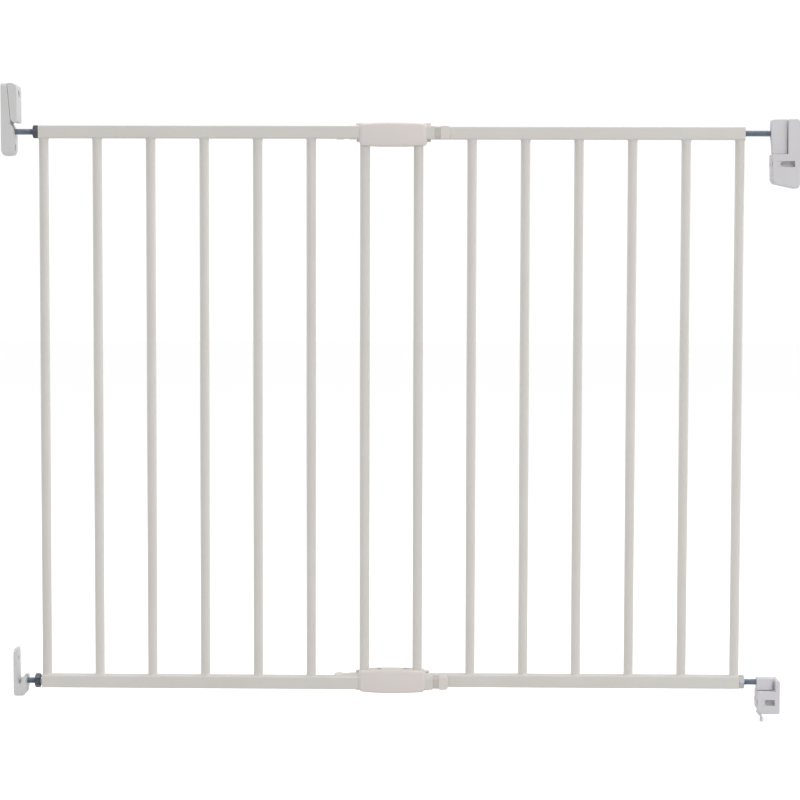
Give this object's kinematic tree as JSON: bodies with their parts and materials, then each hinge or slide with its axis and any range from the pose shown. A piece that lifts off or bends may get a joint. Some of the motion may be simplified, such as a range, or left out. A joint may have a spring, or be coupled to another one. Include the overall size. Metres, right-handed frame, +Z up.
{
  "type": "safety baby gate",
  "caption": "Extending metal baby gate: two barred panels slide through couplers, hung on hinge brackets and caught by latch brackets with a lock cap.",
  "frame": {"origin": "centre of the whole gate's footprint, at the height of its lowest point, the tip of the stop clip", "axes": "+X along the gate from the latch side to the hinge side, +Y from the front to the back, +Z up"},
  "size_m": [1.0112, 0.0526, 0.8128],
  "materials": {
    "powder_coat": "satin",
    "moulded_white": "satin",
    "bracket_white": "satin",
    "zinc_steel": "satin"
  },
  "bodies": {
    "hinge_brackets": {"upper_hinge_bracket": "bracket_white", "lower_hinge_bracket": "bracket_white", "stop_clip": "bracket_white"},
    "hinge_pins": {"upper_hinge_pin": "zinc_steel", "lower_hinge_pin": "zinc_steel"},
    "rear_panel": {"rear_top_rail": "powder_coat", "rear_bottom_rail": "powder_coat", "rear_bar_1": "powder_coat", "rear_bar_2": "powder_coat", "rear_bar_3": "powder_coat", "rear_bar_4": "powder_coat", "rear_bar_5": "powder_coat", "rear_bar_6": "powder_coat", "rear_bar_7": "powder_coat", "rear_bar_8": "powder_coat", "rear_top_plug": "moulded_white", "rear_bottom_plug": "moulded_white", "rear_top_insert": "moulded_white", "rear_bottom_insert": "moulded_white", "upper_hinge_spindle": "zinc_steel", "lower_hinge_spindle": "zinc_steel", "lower_hinge_nut": "zinc_steel", "upper_knuckle": "bracket_white", "lower_knuckle": "bracket_white"},
    "front_panel": {"front_top_rail": "powder_coat", "front_bottom_rail": "powder_coat", "front_bar_1": "powder_coat", "front_bar_2": "powder_coat", "front_bar_3": "powder_coat", "front_bar_4": "powder_coat", "front_bar_5": "powder_coat", "front_bar_6": "powder_coat", "front_bar_7": "powder_coat", "front_bar_8": "powder_coat", "front_top_plug": "moulded_white", "front_bottom_plug": "moulded_white", "front_top_insert": "moulded_white", "front_bottom_insert": "moulded_white", "top_coupler_shell": "moulded_white", "top_coupler_guide": "moulded_white", "bottom_coupler_shell": "moulded_white", "bottom_coupler_guide": "moulded_white", "coupler_screws": "zinc_steel"},
    "latch_brackets": {"upper_latch_bracket": "bracket_white", "lower_latch_cup": "bracket_white"},
    "lock_cap": {"lock_cap": "bracket_white"},
    "upper_latch_spindle": {"upper_latch_spindle": "zinc_steel"},
    "lower_latch_spindle": {"lower_latch_spindle": "zinc_steel"},
    "upper_latch_nut": {"upper_latch_nut": "zinc_steel"},
    "lower_latch_nut": {"lower_latch_nut": "zinc_steel"}
  },
  "joints": [
    {"name": "lift", "type": "slide", "parent": "hinge_brackets", "child": "hinge_pins", "axis": [0, 0, 1], "range_m": [0, 0.013]},
    {"name": "swing", "type": "hinge", "parent": "hinge_pins", "child": "rear_panel", "pos_m": [0.47625, 0.0093, 0.752], "axis": [0, 0, 1], "range_deg": [-90, 90]},
    {"name": "panel_extension", "type": "slide", "parent": "rear_panel", "child": "front_panel", "axis": [1, 0, 0], "range_m": [0, 0.385]},
    {"name": "latch_position", "type": "slide", "parent": "hinge_brackets", "child": "latch_brackets", "axis": [1, 0, 0], "range_m": [0, 0.385]},
    {"name": "cap_slide", "type": "slide", "parent": "latch_brackets", "child": "lock_cap", "axis": [0, 0, 1], "range_m": [0, 0.013]},
    {"name": "upper_spindle_adjust", "type": "slide", "parent": "front_panel", "child": "upper_latch_spindle", "axis": [-1, 0, 0], "range_m": [-0.003, 0.002]},
    {"name": "upper_nut_turn", "type": "hinge", "parent": "front_panel", "child": "upper_latch_nut", "pos_m": [-0.4635, -0.0093, 0.752], "axis": [1, 0, 0], "range_deg": [-900, 600]},
    {"name": "lower_spindle_adjust", "type": "slide", "parent": "front_panel", "child": "lower_latch_spindle", "axis": [-1, 0, 0], "range_m": [-0.003, 0.002]},
    {"name": "lower_nut_turn", "type": "hinge", "parent": "front_panel", "child": "lower_latch_nut", "pos_m": [-0.466, -0.0093, 0.048], "axis": [1, 0, 0], "range_deg": [-900, 600]}
  ],
  "couplings": [
    {"joint": "latch_position", "follows": "panel_extension", "ratio": 1},
    {"joint": "cap_slide", "follows": "lift", "ratio": 1},
    {"joint": "upper_nut_turn", "follows": "upper_spindle_adjust", "rad_per_m": 5026.5},
    {"joint": "lower_nut_turn", "follows": "lower_spindle_adjust", "rad_per_m": 5026.5}
  ]
}
